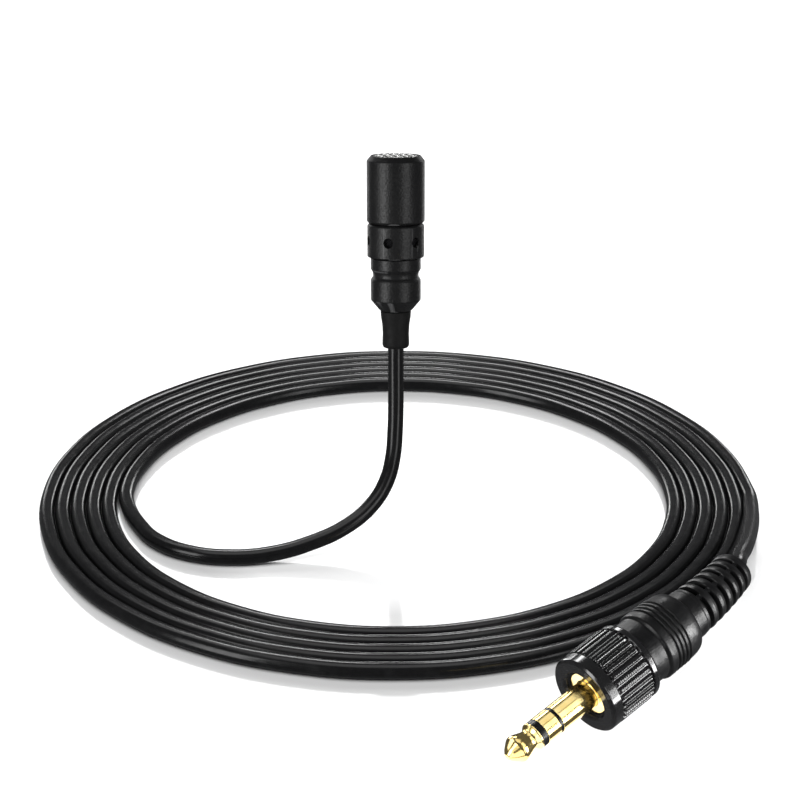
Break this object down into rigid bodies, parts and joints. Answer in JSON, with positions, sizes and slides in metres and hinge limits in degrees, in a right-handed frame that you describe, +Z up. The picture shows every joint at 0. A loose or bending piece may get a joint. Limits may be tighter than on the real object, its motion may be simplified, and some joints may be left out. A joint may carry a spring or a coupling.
{
  "type": "lavalier microphone",
  "caption": "Slim clip-on lavalier microphone head on a thin coiled cord, ending in a 3.5 mm three-contact plug with a screw-lock nut.",
  "frame": {"origin": "centre of the front grille's face, where a bar of the mesh crosses the head's axis", "axes": "+Z up from the surface that the coil lies on, +Y the way the head leans back by 12 degrees, +X to the plug's side"},
  "size_m": [0.1052, 0.123, 0.0527],
  "materials": {
    "anodised_black": "fine satin black anodising over turned metal",
    "grille_mesh": "bright woven wire",
    "acoustic_cloth": "fine black woven cloth",
    "soft_rubber": "matte black rubber",
    "capsule_steel": "drawn steel can",
    "circuit_board": "green solder mask",
    "cord_jacket": "satin black flexible jacket",
    "gold_plate": "polished gold plating",
    "black_insulator": "glossy black plastic",
    "slip_washer": "smooth waxy white",
    "nut_plating": "glossy black plating",
    "moulded_pvc": "satin black, lightly scuffed",
    "tinned_metal": "dull tin plating",
    "red_insulation": "matte wire insulation",
    "white_insulation": "matte wire insulation"
  },
  "bodies": {
    "cable_assembly": {"grille_cap": "anodised_black", "front_grille": "grille_mesh", "dust_screen": "acoustic_cloth", "element_gasket": "soft_rubber", "microphone_element": "capsule_steel", "element_board": "circuit_board", "vent_ring": "anodised_black", "vent_cloth": "acoustic_cloth", "rear_body": "anodised_black", "cord_ferrule": "tinned_metal", "head_boot": "soft_rubber", "signal_wire": "red_insulation", "ground_wire": "white_insulation", "cord_riser": "cord_jacket", "cord_coil": "cord_jacket", "cord_lead_in": "cord_jacket", "plug_tip": "gold_plate", "tip_insulator": "black_insulator", "plug_ring": "gold_plate", "ring_insulator": "black_insulator", "plug_sleeve": "gold_plate", "plug_grip": "moulded_pvc", "plug_boot": "moulded_pvc", "sleeve_lug": "tinned_metal", "ring_lug": "tinned_metal", "tip_lug": "tinned_metal", "tip_lead": "red_insulation", "ring_lead": "white_insulation"},
    "slip_washer": {"nut_washer": "slip_washer"},
    "locking_nut": {"lock_nut": "nut_plating"}
  },
  "joints": [
    {"name": "nut_slide", "type": "slide", "parent": "cable_assembly", "child": "slip_washer", "axis": [0.7389, 0.6222, 0.2588], "range_m": [0, 0.0022]},
    {"name": "nut_spin", "type": "hinge", "parent": "slip_washer", "child": "locking_nut", "pos_m": [0.02541, -0.06065, -0.04607], "axis": [0.7389, 0.6222, 0.2588], "continuous": true}
  ]
}
